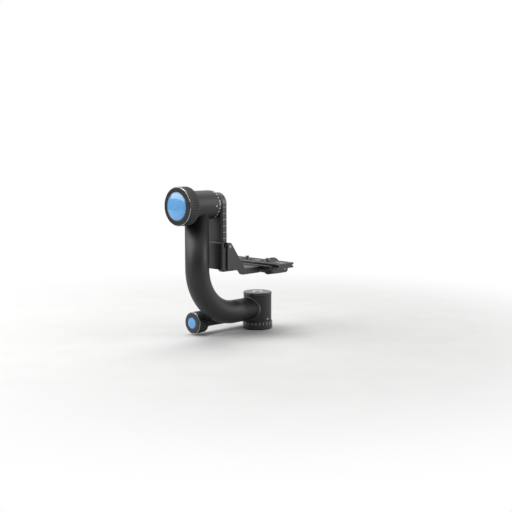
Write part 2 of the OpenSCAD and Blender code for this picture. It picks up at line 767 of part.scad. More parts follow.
// ---- Cradle: slides along the rail -----------------------------------------------------------------
// Side outline of the cheeks and platform, in X and Z
module cradle_outline() {
    rear_z = arch_z + arch_dz - (arch_x - arch_dx - rear_x) * tan(cheek_slope);
    polygon([
        [rear_x, cradle_z0], [rear_x, rear_z], [arch_x - arch_dx, arch_z + arch_dz],
        for (a = [90 + cheek_slope - 15 : -15 : 90 - cheek_slope + 5])
            [arch_x + cheek_r * cos(a), arch_z + cheek_r * sin(a)],
        [arch_x + arch_dx, arch_z + arch_dz], [toe_x, platform_top],
        [-clamp_half, platform_top], [-clamp_half, platform_z0],
        for (i = [0 : 4]) [heel_x - heel_r * sin(heel_slope * i / 4),
                           platform_z0 + heel_r * (1 - cos(heel_slope * i / 4))],
        [platform_x0, cradle_z0]
    ]);
}
module cradle_bracket() {
    color(black_anodised) difference() {
        union() {
            difference() {
                across_y(cradle_half) cradle_outline();
                // Step in the cheeks' outer faces beside the rail
                for (y = [-cradle_half - 1, rear_half]) translate([rear_x - 1, y, cradle_z0 - 1])
                    cube([recess_x - rear_x + 1, cradle_half + 1 - rear_half, cradle_h + 2]);
            }
            facing_y([height_x, channel_half, height_z])
                cylinder(r = height_boss_r, h = height_face - channel_half);
            for (y = [-tongue_y1, tongue_y0]) translate([-clamp_half - 1, y, platform_z0])
                cube([tongue_x1 + clamp_half + 1, tongue_y1 - tongue_y0, tongue_t]);
        }
        // Channel for the rail and its gibs
        translate([rear_x - 1, -channel_half, cradle_z0 - 1])
            cube([web_x0 - rear_x + 1, 2 * channel_half, cradle_h + 2]);
        // Pocket between the cheeks, with a sloping root, and the hollow under the platform
        across_y(channel_half) polygon([
            [web_x1, cradle_z1 + 1], [web_x1, floor_z + root_rise], [web_x1 + root_run, floor_z],
            [-clamp_half, floor_z], [-clamp_half, cradle_z1 + 1]
        ]);
        translate([platform_x0 - 1, -channel_half, platform_z0 - 1])
            cube([-clamp_half - platform_end_t - platform_x0 + 1, 2 * channel_half,
                  floor_z - platform_web_t - platform_z0 + 1]);
        // Slot in the web for the rail's stop pin
        for (z = [stop_z, stop_z - height_travel])
            facing_x([web_x0 - 1, 0, z]) cylinder(r = slot_r, h = web_t + 2);
        translate([web_x0 - 1, -slot_r, stop_z - height_travel]) cube([web_t + 2, 2 * slot_r, height_travel]);
        // Bores for the height lock, the gib screws and the clamp's screws
        facing_y([height_x, rail_half, height_z]) cylinder(r = height_r + run_gap, h = cradle_w);
        gib_screw_places() cylinder(r = gib_screw_r + run_gap, h = cradle_half);
        rear_screw_places() cylinder(r = rear_screw_r + run_gap, h = rear_plate_t + rear_screw_in + 0.2);
        for (x = clamp_screw_x, s = [-1, 1])
            translate([x, s * clamp_screw_y, platform_z0 - 1])
                cylinder(r = clamp_bolt_r + 0.1, h = platform_t + 2);
        platform_edge_bevels();
    }
}
module platform_edge_bevels() {
    for (s = [-1, 1], edge = [[toe_x, platform_top], [heel_x, platform_z0]])
        facing_x([edge[0], s * cradle_half, edge[1]]) rotate([0, 0, 45])
            translate([-edge_bevel / sqrt(2), -edge_bevel / sqrt(2), 0])
                cube([edge_bevel * sqrt(2), edge_bevel * sqrt(2), 1 - clamp_half - edge[0]]);
}
module rear_plate() {
    h = cradle_h + 1;
    back_x = rear_x - rear_plate_t;
    color(black_anodised) difference() {
        translate([0, 0, cradle_z0 + rear_lift]) linear_extrude(h - rear_lift) polygon([
            [rear_x, -rear_half], [rear_x, rear_half], [back_x + rear_bevel, rear_half],
            [back_x, rear_half - rear_bevel], [back_x, -rear_half + rear_bevel],
            [back_x + rear_bevel, -rear_half]
        ]);
        across_y(cradle_half) polygon([
            [back_x - 1, cradle_z0 + h - rear_bevel - 1], [back_x + rear_bevel + 1, cradle_z0 + h + 1],
            [back_x - 1, cradle_z0 + h + 1]
        ]);
        rear_screw_places() {
            cylinder(r = rear_screw_r + run_gap, h = rear_plate_t + 1);
            translate([0, 0, -2]) cylinder(r = rear_head_r + 0.1, h = 2 + rear_head_sink + rear_head_h);
        }
    }
}
module rear_screw_places() {
    for (s = [-1, 1], z = rear_screw_z)
        facing_x([rear_x - rear_plate_t, s * rear_screw_y, z]) children();
}
module rear_plate_screws() {
    color(steel) rear_screw_places() difference() {
        union() {
            translate([0, 0, rear_head_sink]) cylinder(r = rear_head_r, h = rear_head_h);
            translate([0, 0, rear_head_sink + rear_head_h])
                cylinder(r = rear_screw_r, h = rear_plate_t + rear_screw_in - rear_head_sink - rear_head_h);
        }
        translate([0, 0, rear_head_sink - 1]) cylinder(r = 0.9, h = 1.9, $fn = 6);
    }
}
module gib_strips() {
    color(gib_plastic) difference() {
        for (s = [-1, 1])
            translate([rail_x0 + rail_bevel + 0.1, s > 0 ? gib_y0 : -gib_y0 - gib_t, cradle_z0 + 2])
                cube([rail_t - rail_bevel - rail_front_bevel - 0.2, gib_t, cradle_h - gib_short]);
        facing_y([height_x, 0, height_z]) cylinder(r = height_r + face_gap, h = cradle_w);
    }
}
module gib_screw_places() {
    facing_y([arch_x, channel_half - 0.5, arch_z]) children();
    facing_back_y([arch_x, -channel_half + 0.5, arch_z]) children();
}
module gib_screws() {
    reach = cradle_half - channel_half + 0.5;
    color(bright_metal) gib_screw_places() difference() {
        union() {
            translate([0, 0, gib_screw_z0]) cylinder(r = gib_screw_r, h = reach - gib_screw_z0);
            translate([0, 0, reach]) cylinder(r = gib_head_r, h = gib_head_h);
        }
        translate([0, 0, reach + 0.3]) cylinder(r = gib_hex_r, h = gib_head_h, $fn = 6);
    }
}
module height_lock_pad() {
    color(brass) facing_y([height_x, gib_y0, height_z]) cylinder(r = height_r, h = lock_pad_t);
}
module clamp_outline_cut() {
    h = clamp_half;
    l = clamp_l / 2;
    polygon([
        [-h, -l + jaw_end_bevel], [-h + jaw_end_bevel, -l], [h - jaw_end_bevel, -l], [h, -l + jaw_end_bevel],
        [h, l - jaw_end_bevel], [h - jaw_end_bevel, l], [-h + jaw_end_bevel, l], [-h, l - jaw_end_bevel]
    ]);
}
// Section of one jaw, for X > 0, from the split to the outside
module jaw_section(split) {
    inner = plate_half + jaw_side;
    polygon([
        [split, clamp_z0], [foot_half, clamp_z0], [clamp_half, clamp_z0 + foot_rise],
        [clamp_half, jaw_top - jaw_bevel], [clamp_half - jaw_bevel, jaw_top],
        [inner - plate_neck, jaw_top], [inner - plate_neck, plate_z0 + plate_flange + plate_neck],
        [inner, plate_z0 + plate_flange], [inner, clamp_top], [split, clamp_top]
    ]);
}
module clamp_body(split, flip) {
    intersection() {
        across_y(clamp_l / 2) mirror([flip, 0]) jaw_section(split);
        translate([0, 0, clamp_z0 - 1]) linear_extrude(jaw_top - clamp_z0 + 2) clamp_outline_cut();
    }
}
module clamp_base() {
    color(black_anodised) difference() {
        clamp_body(-jaw_split, 1);
        for (y = [-tongue_y1, tongue_y0]) translate([-clamp_half - 1, y - 0.1, clamp_z0 - 1])
            cube([tongue_x1 + clamp_half + 1.1, tongue_y1 - tongue_y0 + 0.2,
                  platform_z0 - clamp_z0 + tongue_t + 1]);
        facing_x([-clamp_half - 1, 0, clamp_axis_z]) cylinder(r = clamp_r + run_gap, h = clamp_w);
        for (s = [-1, 1]) facing_x([-guide_bore_in, s * guide_y, clamp_axis_z])
            cylinder(r = guide_r + run_gap, h = clamp_w);
        for (x = clamp_screw_x, s = [-1, 1])
            translate([x, s * clamp_screw_y, platform_z0 + tongue_t - 1])
                cylinder(r = clamp_bolt_r, h = clamp_bolt_l - clamp_bolt_head_h - tongue_t + 1.1);
    }
}
module clamp_base_screws() {
    color(steel) for (x = clamp_screw_x, s = [-1, 1])
        translate([x, s * clamp_screw_y, platform_z0 - clamp_bolt_head_h]) difference() {
            union() {
                cylinder(r = clamp_bolt_head_r, h = clamp_bolt_head_h);
                cylinder(r = clamp_bolt_r, h = clamp_bolt_l);
            }
            translate([0, 0, -1]) cylinder(r = clamp_bolt_hex_r, h = 2.6, $fn = 6);
        }
}

// ---- Height knob: turns in the cradle's cheek -----------------------------------------------------
module height_knob_place() {
    facing_back_y([height_x, height_face + face_gap + height_knob_l, height_z]) children();
}
module height_knob_core() {
    color(black_anodised) height_knob_place()
        knob_core(height_knob_d, height_knob_l, height_r, height_screw_in);
}
module height_knob_grip() { color(grip_rubber) height_knob_place() knob_grip(height_knob_d, height_knob_l); }
module height_knob_badge() { color(badge_blue) height_knob_place() knob_badge(height_knob_d); }
module height_lock_screw() {
    y0 = gib_y0 + lock_pad_t + face_gap;
    color(steel) facing_y([height_x, y0, height_z])
        cylinder(r = height_r, h = height_face + face_gap + height_screw_in - y0);
}

// ---- Moving jaw and its knob ------------------------------------------------------------------------
module clamp_jaw() {
    color(black_anodised) difference() {
        clamp_body(jaw_split + face_gap, 0);
        facing_x([0, 0, clamp_axis_z]) cylinder(r = clamp_r + face_gap, h = clamp_w);
        for (s = [-1, 1]) facing_x([0, s * guide_y, clamp_axis_z]) cylinder(r = guide_r, h = clamp_half - 2);
    }
}
module clamp_guide_pins() {
    color(steel) for (s = [-1, 1]) facing_x([-guide_in, s * guide_y, clamp_axis_z])
        cylinder(r = guide_r, h = clamp_half - 2 + guide_in);
}
module clamp_knob_place() {
    facing_back_x([clamp_half + face_gap + clamp_knob_l, 0, clamp_axis_z]) children();
}
module clamp_knob_core() {
    color(black_anodised) clamp_knob_place() knob_core(clamp_knob_d, clamp_knob_l, clamp_r, clamp_screw_in);
}
module clamp_knob_grip() { color(grip_rubber) clamp_knob_place() knob_grip(clamp_knob_d, clamp_knob_l); }
module clamp_knob_badge() { color(badge_blue) clamp_knob_place() knob_badge(clamp_knob_d); }
module clamp_screw() {
    color(steel) facing_x([-clamp_screw_reach, 0, clamp_axis_z])
        cylinder(r = clamp_r, h = clamp_screw_reach + clamp_half + face_gap + clamp_screw_in);
}

// ---- Lens plate: slides along the clamp -------------------------------------------------------------
module lens_plate() {
    color(black_anodised) difference() {
        across_y(plate_l / 2) polygon([
            [-plate_half, plate_z0], [plate_half, plate_z0], [plate_half, plate_z0 + plate_flange],
            [plate_half - plate_neck, plate_z0 + plate_flange + plate_neck],
            [plate_half - plate_neck, slab_z0], [plate_half, slab_z0],
            [plate_half, plate_top - plate_edge], [plate_half - plate_edge, plate_top],
            [-plate_half + plate_edge, plate_top], [-plate_half, plate_top - plate_edge],
            [-plate_half, slab_z0], [-plate_half + plate_neck, slab_z0],
            [-plate_half + plate_neck, plate_z0 + plate_flange + plate_neck],
            [-plate_half, plate_z0 + plate_flange]
        ]);
        for (s = [-1, 1]) {
            lens_slot(s, lens_screw_d / 2 + 0.2, plate_z0 - 1, plate_t + 2);
            lens_slot(s, lens_head_r + 0.3, plate_z0 - 1, 1 + lens_head_h + 0.7);
            translate([s > 0 ? pad_x0 : -pad_x1, -pad_half(), plate_top - pad_sink])
                cube([pad_x1 - pad_x0, 2 * pad_half(), 2]);
            translate([0, s * stop_y, plate_z0 - 1]) cylinder(r = stop_screw_r, h = stop_screw_in + 1.5);
        }
    }
}
function pad_half() = plate_l / 2 - pad_end;
module lens_slot(s, r, z, h) {
    for (y = [lens_screw_y - lens_slot_half, lens_screw_y + lens_slot_half])
        translate([0, s * y, z]) cylinder(r = r, h = h);
    translate([-r, s > 0 ? lens_screw_y - lens_slot_half : -lens_screw_y - lens_slot_half, z])
        cube([2 * r, 2 * lens_slot_half, h]);
}
module lens_plate_pads() {
    color(grip_rubber) for (s = [-1, 1])
        translate([s > 0 ? pad_x0 : -pad_x1, -pad_half(), plate_top - pad_sink])
            cube([pad_x1 - pad_x0, 2 * pad_half(), pad_sink + pad_proud]);
}
module lens_screws() {
    thread_z = plate_t - 0.3 + pad_proud;
    color(steel) for (s = [-1, 1]) translate([0, s * lens_screw_y, plate_z0 + 0.3]) difference() {
        union() {
            cylinder(r = lens_head_r, h = lens_head_h);
            translate([0, 0, lens_head_h - 0.5])
                cylinder(r = lens_screw_d / 2 - lens_undercut, h = thread_z - lens_head_h + 1);
            translate([0, 0, thread_z]) cylinder(r = lens_screw_d / 2, h = lens_screw_out);
        }
        translate([-lens_head_r - 1, -lens_driver_slot / 2, -1])
            cube([2 * lens_head_r + 2, lens_driver_slot, 2.2]);
    }
}
module plate_stop_screws() {
    color(steel) for (s = [-1, 1]) translate([0, s * stop_y, plate_z0 - stop_head_h]) {
        cylinder(r = stop_r, h = stop_head_h);
        cylinder(r = stop_screw_r, h = stop_head_h + stop_screw_in);
    }
}

base_disc();
thread_insert();
pan_scale_ring();
pan_spindle();
spindle_screws();
pan_inner_races();
pan_retaining_nut();
pan_hub();
pan_outer_races();
pan_balls();
pan_bearing_spacer();
hub_cap();
level_cup();
level_vial();
pan_lock_sleeve();
pan_brake_shoe();
arm_tube();
arm_seam_bead();
tilt_housing();
tilt_end_cap();
tilt_outer_races();
tilt_balls();
tilt_brake_pad();
pan_knob_core();
pan_knob_grip();
pan_knob_badge();
pan_lock_screw();
tilt_knob_core();
tilt_knob_grip();
tilt_knob_badge();
tilt_lock_screw();
tilt_shaft();
tilt_inner_races();
tilt_scale_ring();
swing_rail();
rail_screws();
rail_stop_pin();
cradle_bracket();
rear_plate();
rear_plate_screws();
gib_strips();
gib_screws();
height_lock_pad();
clamp_base();
clamp_base_screws();
height_knob_core();
height_knob_grip();
height_knob_badge();
height_lock_screw();
clamp_jaw();
clamp_guide_pins();
clamp_knob_core();
clamp_knob_grip();
clamp_knob_badge();
clamp_screw();
lens_plate();
lens_plate_pads();
lens_screws();
plate_stop_screws();
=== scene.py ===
"""Looks of a side-mounted gimbal tripod head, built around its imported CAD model.

Everything is in metres in the CAD's own frame: +Z is up along the pan axis, the arm's upright
stands on the -X side, the tilt axis runs along X, and a mounted lens would point along -Y. Sizes of
the head's own pieces are written in millimetres and multiplied by MM, the studio's in metres.
"""

import json
import math

import bmesh
import bpy
from mathutils import Matrix, Vector

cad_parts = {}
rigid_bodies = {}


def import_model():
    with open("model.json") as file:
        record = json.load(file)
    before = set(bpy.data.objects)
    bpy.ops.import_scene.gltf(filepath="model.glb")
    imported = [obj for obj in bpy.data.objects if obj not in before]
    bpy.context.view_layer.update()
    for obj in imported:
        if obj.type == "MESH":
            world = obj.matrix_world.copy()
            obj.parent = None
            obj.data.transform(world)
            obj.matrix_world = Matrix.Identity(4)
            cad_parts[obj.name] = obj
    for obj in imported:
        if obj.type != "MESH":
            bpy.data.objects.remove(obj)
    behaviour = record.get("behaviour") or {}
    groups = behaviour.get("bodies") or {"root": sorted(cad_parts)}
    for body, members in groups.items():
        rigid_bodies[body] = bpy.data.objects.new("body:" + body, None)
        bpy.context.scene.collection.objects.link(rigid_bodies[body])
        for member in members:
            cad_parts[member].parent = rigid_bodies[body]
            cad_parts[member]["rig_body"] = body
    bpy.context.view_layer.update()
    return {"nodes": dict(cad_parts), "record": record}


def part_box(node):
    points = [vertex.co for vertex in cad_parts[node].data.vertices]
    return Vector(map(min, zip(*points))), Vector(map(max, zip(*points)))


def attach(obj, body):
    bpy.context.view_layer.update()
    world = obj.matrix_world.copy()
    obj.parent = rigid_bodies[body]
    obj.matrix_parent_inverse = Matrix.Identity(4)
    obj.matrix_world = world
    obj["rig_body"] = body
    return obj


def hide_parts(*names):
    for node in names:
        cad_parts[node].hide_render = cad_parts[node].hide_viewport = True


MM = 0.001

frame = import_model()
scene = bpy.context.scene


# ---- Camera, fitted to points of the photograph --------------------------------------------------
IMAGE_PX = 512
FOCAL_PX = 905.0
SENSOR_MM = 36.0
CAMERA_PLACE = (-1.08947, -1.04564, 0.30307)
CAMERA_PITCH_DEG = 83.17
CAMERA_HEADING_DEG = -46.08

camera_data = bpy.data.cameras.new("photo_camera")
camera_data.sensor_width = SENSOR_MM
camera_data.lens = FOCAL_PX * SENSOR_MM / IMAGE_PX
camera_data.clip_start = 0.01
camera_data.clip_end = 50
camera = bpy.data.objects.new("photo_camera", camera_data)
camera.location = CAMERA_PLACE
camera.rotation_euler = (math.radians(CAMERA_PITCH_DEG), 0, math.radians(CAMERA_HEADING_DEG))
scene.collection.objects.link(camera)
scene.camera = camera


# ---- Colours, nodes and patterns of the finishes -------------------------------------------------
WHITE = (1, 1, 1, 1)
# Sockets of a colour Mix node: its factor, its two colours and its result
MIX_FACTOR, MIX_A, MIX_B, MIX_RESULT = 0, 6, 7, 2
# Noise values over which a two-toned surface turns from its dark to its light tone
TONE_RANGE = (0.3, 0.7)
# Cosines of the turn at which an edge's painted highlight starts, and at which it is full
EDGE_HIGHLIGHT_STARTS, EDGE_HIGHLIGHT_FULL = 0.995, 0.8


def linear(hex_colour):
    """An sRGB hex colour as linear RGBA."""
    parts = [int(hex_colour[i : i + 2], 16) / 255 for i in (1, 3, 5)]
    return [c / 12.92 if c <= 0.04045 else ((c + 0.055) / 1.055) ** 2.4 for c in parts] + [1]


def add_node(tree, kind, inputs=None, **settings):
    """Adds a node with its settings. inputs maps a socket's name or number to a link or a value."""
    node = tree.nodes.new(kind)
    for key, value in settings.items():
        setattr(node, key, value)
    for key, value in (inputs or {}).items():
        if isinstance(value, bpy.types.NodeSocket):
            tree.links.new(value, node.inputs[key])
        else:
            node.inputs[key].default_value = value
    return node


def new_material(name):
    """An empty node material and its tree."""
    material = bpy.data.materials.new(name)
    material.use_nodes = True
    material.node_tree.nodes.clear()
    return material, material.node_tree


def finish_surface(material, inputs):
    """Ends a material in a Principled shader with these inputs, and returns the material."""
    tree = material.node_tree
    shader = add_node(tree, "ShaderNodeBsdfPrincipled", inputs)
    add_node(tree, "ShaderNodeOutputMaterial", {"Surface": shader.outputs["BSDF"]})
    return material


def grain(tree, size_mm, detail=2.0):
    """A pattern of 0 to 1 whose blotches are about size_mm across."""
    place = add_node(tree, "ShaderNodeTexCoord").outputs["Object"]
    inputs = {"Vector": place, "Scale": 1 / (size_mm * MM), "Detail": detail}
    return add_node(tree, "ShaderNodeTexNoise", inputs).outputs["Fac"]


def two_tone(tree, pattern, dark_hex, light_hex):
    """A colour that wanders from a dark to a light tone with a pattern."""
    spread = {"Value": pattern, "From Min": TONE_RANGE[0], "From Max": TONE_RANGE[1]}
    share = add_node(tree, "ShaderNodeMapRange", spread).outputs["Result"]
    tones = {MIX_FACTOR: share, MIX_A: linear(dark_hex), MIX_B: linear(light_hex)}
    return add_node(tree, "ShaderNodeMix", tones, data_type="RGBA").outputs[MIX_RESULT]


def paint_edge_highlight(tree, colour, radius_mm, patches, highlight_hex):
    """The colour, paler in patches where the surface turns within radius_mm: a painted edge
    highlight.
    """
    rounded = add_node(tree, "ShaderNodeBevel", {"Radius": radius_mm * MM}, samples=6)
    flat = add_node(tree, "ShaderNodeNewGeometry")
    normals = {0: rounded.outputs["Normal"], 1: flat.outputs["Normal"]}
    turn = add_node(tree, "ShaderNodeVectorMath", normals, operation="DOT_PRODUCT").outputs["Value"]
    span = {"Value": turn, "From Min": EDGE_HIGHLIGHT_STARTS, "From Max": EDGE_HIGHLIGHT_FULL}
    edge = add_node(tree, "ShaderNodeMapRange", span).outputs["Result"]
    factors = {0: edge, 1: patches}
    # How strongly the painted edge highlight shows: the edge mask, broken into patches
    highlight_share = add_node(tree, "ShaderNodeMath", factors, operation="MULTIPLY").outputs["Value"]
    tones = {MIX_FACTOR: highlight_share, MIX_A: colour, MIX_B: linear(highlight_hex)}
    return add_node(tree, "ShaderNodeMix", tones, data_type="RGBA").outputs[MIX_RESULT]


# ---- Materials -----------------------------------------------------------------------------------
def make_powder_coat():
    """Cast aluminium under black powder coat: a fine matt grain that breaks up the light along the
    arm's length, and a painted highlight that makes its edges paler in patches."""
    material, tree = new_material("powder_coated_cast_aluminium")
    # The real grain is about 0.2 mm; drawn at 0.55 mm so that it shows.
    fine = grain(tree, 0.55, detail=3)
    colour = two_tone(tree, grain(tree, 14), "#1b1c1e", "#202123")
    gloss = add_node(tree, "ShaderNodeMapRange", {"Value": fine, "To Min": 0.4, "To Max": 0.52})
    relief = add_node(tree, "ShaderNodeBump", {"Height": fine, "Distance": 0.035 * MM})
    return finish_surface(
        material,
        {
            # Paler edges in #4a4b4e are a painted edge highlight
            "Base Color": paint_edge_highlight(tree, colour, 0.5, grain(tree, 3), "#4a4b4e"),
            "Roughness": gloss.outputs["Result"],
            "Normal": relief.outputs["Normal"],
            "IOR": 1.5,
        },
    )


def make_bead_highlight_coat():
    """The same coat on the weld bead between arm and hub, painted paler as a highlight along the
    seam.
    """
    material, tree = new_material("powder_coat_painted_with_seam_highlight")
    # The coat's grain, drawn as coarse as on the arm.
    fine = grain(tree, 0.55, detail=3)
    gloss = add_node(tree, "ShaderNodeMapRange", {"Value": fine, "To Min": 0.3, "To Max": 0.4})
    relief = add_node(tree, "ShaderNodeBump", {"Height": fine, "Distance": 0.02 * MM})
    return finish_surface(
        material,
        {
            # Pale tones: a painted highlight along the seam between arm and hub
            "Base Color": two_tone(tree, grain(tree, 4), "#77787b", "#96979a"),
            "Roughness": gloss.outputs["Result"],
            "Normal": relief.outputs["Normal"],
            "IOR": 1.5,
        },
    )


def make_black_anodised():
    """Machined aluminium, bead-blasted and black anodised: the eye meets a dyed oxide film, so it
    is dark with a satin sheen, and a painted highlight draws its edges as a thin grey line."""
    material, tree = new_material("blasted_black_anodised_aluminium")
    # Blasting leaves pits of 0.05 mm; drawn at 0.3 mm so that they show.
    pits = grain(tree, 0.3)
    broad = grain(tree, 22)
    colour = two_tone(tree, broad, "#17181a", "#1c1d20")
    spread = {"Value": grain(tree, 4, detail=3), "To Min": 0.25, "To Max": 1}
    patches = add_node(tree, "ShaderNodeMapRange", spread).outputs["Result"]
    gloss = add_node(tree, "ShaderNodeMapRange", {"Value": broad, "To Min": 0.3, "To Max": 0.38})
    relief = add_node(tree, "ShaderNodeBump", {"Height": pits, "Distance": 0.008 * MM})
    return finish_surface(
        material,
        {
            # The grey edge line in #77797d is a painted edge highlight
            "Base Color": paint_edge_highlight(tree, colour, 0.35, patches, "#77797d"),
            "Roughness": gloss.outputs["Result"],
            "Normal": relief.outputs["Normal"],
            "IOR": 1.65,
        },
    )


def make_turned_anodised():
    """Lathe-turned aluminium, black anodised without blasting: smoother and a little darker than
    the blasted parts, so that its faces catch brighter, tighter highlights."""
    material, tree = new_material("turned_black_anodised_aluminium")
    # The tool's marks are about 0.1 mm apart; drawn as an even grain of 0.3 mm so that they show.
    marks = grain(tree, 0.3)
    broad = grain(tree, 16)
    colour = two_tone(tree, broad, "#121315", "#16171a")
    spread = {"Value": grain(tree, 4, detail=3), "To Min": 0.25, "To Max": 1}
    patches = add_node(tree, "ShaderNodeMapRange", spread).outputs["Result"]
    gloss = add_node(tree, "ShaderNodeMapRange", {"Value": broad, "To Min": 0.25, "To Max": 0.31})
    relief = add_node(tree, "ShaderNodeBump", {"Height": marks, "Distance": 0.004 * MM})
    return finish_surface(
        material,
        {
            # The grey edge line in #77797d is a painted edge highlight
            "Base Color": paint_edge_highlight(tree, colour, 0.35, patches, "#77797d"),
            "Roughness": gloss.outputs["Result"],
            "Normal": relief.outputs["Normal"],
            "IOR": 1.6,
        },
    )


def make_bright_aluminium():
    """Aluminium with a diamond-turned chamfer: a mirror-like silver line."""
    material, tree = new_material("diamond_turned_bright_aluminium")
    # A diamond leaves marks of a few hundredths of a millimetre; drawn at 0.4 mm so that they show.
    marks = grain(tree, 0.4)
    gloss = add_node(tree, "ShaderNodeMapRange", {"Value": marks, "To Min": 0.16, "To Max": 0.24})
    relief = add_node(tree, "ShaderNodeBump", {"Height": marks, "Distance": 0.003 * MM})
    return finish_surface(
        material,
        {
            "Base Color": linear("#d6d8da"),
            "Metallic": 1.0,
            "Roughness": gloss.outputs["Result"],
            "Normal": relief.outputs["Normal"],
        },
    )


def make_steel():
    """Ground and turned steel: grey metal with fine tool marks."""
    material, tree = new_material("ground_and_turned_steel")
    # Grinding marks are about 0.05 mm; drawn at 0.35 mm so that they show.
    marks = grain(tree, 0.35, detail=3)
    gloss = add_node(tree, "ShaderNodeMapRange", {"Value": marks, "To Min": 0.26, "To Max": 0.4})
    relief = add_node(tree, "ShaderNodeBump", {"Height": marks, "Distance": 0.006 * MM})
    return finish_surface(
        material,
        {
            "Base Color": two_tone(tree, grain(tree, 6), "#8b8d90", "#a2a4a7"),
            "Metallic": 1.0,
            "Roughness": gloss.outputs["Result"],
            "Normal": relief.outputs["Normal"],
        },
    )


def make_brass():
    """Turned brass: warm yellow metal, a little dulled."""
    material, tree = new_material("turned_brass")
    # The tool's marks are about 0.1 mm apart; drawn at 0.5 mm so that they show.
    marks = grain(tree, 0.5, detail=3)
    gloss = add_node(tree, "ShaderNodeMapRange", {"Value": marks, "To Min": 0.28, "To Max": 0.42})
    return finish_surface(
        material,
        {
            "Base Color": two_tone(tree, grain(tree, 5), "#b58f4a", "#c9a866"),
            "Metallic": 1.0,
            "Roughness": gloss.outputs["Result"],
        },
    )


def make_rubber():
    """Moulded black rubber: matt, with the mould's fine texture and a faint bloom."""
    material, tree = new_material("moulded_black_rubber")
    # The mould's texture is about 0.1 mm; drawn at 0.5 mm so that it shows.
    skin = grain(tree, 0.5, detail=3)
    gloss = add_node(tree, "ShaderNodeMapRange", {"Value": skin, "To Min": 0.5, "To Max": 0.64})
    relief = add_node(tree, "ShaderNodeBump", {"Height": skin, "Distance": 0.02 * MM})
    return finish_surface(
        material,
        {
            "Base Color": two_tone(tree, grain(tree, 9, detail=3), "#151516", "#1d1d1e"),
            "Roughness": gloss.outputs["Result"],
            "Normal": relief.outputs["Normal"],
            "IOR": 1.52,
        },
    )


def make_print_under_resin(name, dark_hex, light_hex):
    """Blue print under a clear domed resin drop: saturated colour below a wet-looking gloss."""
    material, tree = new_material(name)
    return finish_surface(
        material,
        {
            "Base Color": two_tone(tree, grain(tree, 16), dark_hex, light_hex),
            "Roughness": 0.35,
            "IOR": 1.5,
            "Coat Weight": 1.0,
            "Coat Roughness": 0.08,
            "Coat IOR": 1.52,
        },
    )


def make_acetal():
    """Machined acetal: dark grey, waxy plastic."""
    material, tree = new_material("machined_acetal")
    # Milling marks are about 0.2 mm apart; drawn at 0.6 mm so that they show.
    marks = grain(tree, 0.6)
    gloss = add_node(tree, "ShaderNodeMapRange", {"Value": marks, "To Min": 0.42, "To Max": 0.5})
    return finish_surface(
        material,
        {
            "Base Color": two_tone(tree, marks, "#2c2d2f", "#343537"),
            "Roughness": gloss.outputs["Result"],
            "IOR": 1.48,
        },
    )


def make_white_fill():
    """White paint pressed into engraved marks and wiped: slightly uneven, matt."""
    material, tree = new_material("white_paint_filled_engraving")
    wiped = grain(tree, 0.8, detail=3)
    gloss = add_node(tree, "ShaderNodeMapRange", {"Value": wiped, "To Min": 0.5, "To Max": 0.65})
    return finish_surface(
        material,
        {
            "Base Color": two_tone(tree, wiped, "#dcdddb", "#f2f2ef"),
            "Roughness": gloss.outputs["Result"],
            "IOR": 1.5,
        },
    )


def make_level_spirit():
    """Tinted spirit in the bubble level: clear yellow-green over a white floor."""
    material, tree = new_material("tinted_level_spirit")
    return finish_surface(
        material,
        {
            "Base Color": two_tone(tree, grain(tree, 4, detail=1), "#c3dc5a", "#cfe66c"),
            "Roughness": 0.05,
            "IOR": 1.36,
            "Coat Weight": 1.0,
            "Coat Roughness": 0.02,
            "Coat IOR": 1.49,
        },
    )


def make_bubble_air():
    """Air bubble in the spirit, seen from above: pale where the white floor of the vial shows."""
    material, tree = new_material("air_bubble_over_white_floor")
    return finish_surface(
        material,
        {
            "Base Color": two_tone(tree, grain(tree, 2, detail=1), "#e9f2b4", "#f1f7c9"),
            "Roughness": 0.1,
            "IOR": 1.36,
        },
    )


def make_acrylic():
    """Moulded clear acrylic lens over the level: sharp highlights."""
    material, tree = new_material("moulded_clear_acrylic")
    clouds = grain(tree, 3, detail=1)
    gloss = add_node(tree, "ShaderNodeMapRange", {"Value": clouds, "To Min": 0.015, "To Max": 0.03})
    return finish_surface(
        material,
        {
            "Base Color": linear("#f6f9f6"),
            "Roughness": gloss.outputs["Result"],
            "IOR": 1.49,
            "Transmission Weight": 1.0,
        },
    )


powder_coat = make_powder_coat()
bead_highlight_coat = make_bead_highlight_coat()
black_anodised = make_black_anodised()
turned_anodised = make_turned_anodised()
bright_aluminium = make_bright_aluminium()
steel = make_steel()
brass = make_brass()
rubber = make_rubber()
# The knobs' discs: one blue, with a deeper one round it
blue_print = make_print_under_resin("blue_print_under_domed_resin", "#64b6fa", "#6ebdfc")
border_print = make_print_under_resin("deep_blue_print_under_domed_resin", "#35577f", "#3d628d")
acetal = make_acetal()
white_fill = make_white_fill()
level_spirit = make_level_spirit()
bubble_air = make_bubble_air()
acrylic = make_acrylic()

SLOT_MATERIALS = {
    "black_anodised": black_anodised,
    "arm_paint": powder_coat,
    "bright_aluminium": bright_aluminium,
    "steel": steel,
    "brass": brass,
    "grip_rubber": rubber,
    "badge_blue": blue_print,
    "gib_plastic": acetal,
    "level_fluid": level_spirit,
}
# Nodes whose finish differs from the rest of their slot
NODE_MATERIALS = {
    "pan_knob_core": turned_anodised,
    "tilt_knob_core": turned_anodised,
    "height_knob_core": turned_anodised,
    "clamp_knob_core": turned_anodised,
    "hub_cap": turned_anodised,
    # The weld bead's paler coat is a painted highlight along the seam
    "arm_seam_bead": bead_highlight_coat,
}


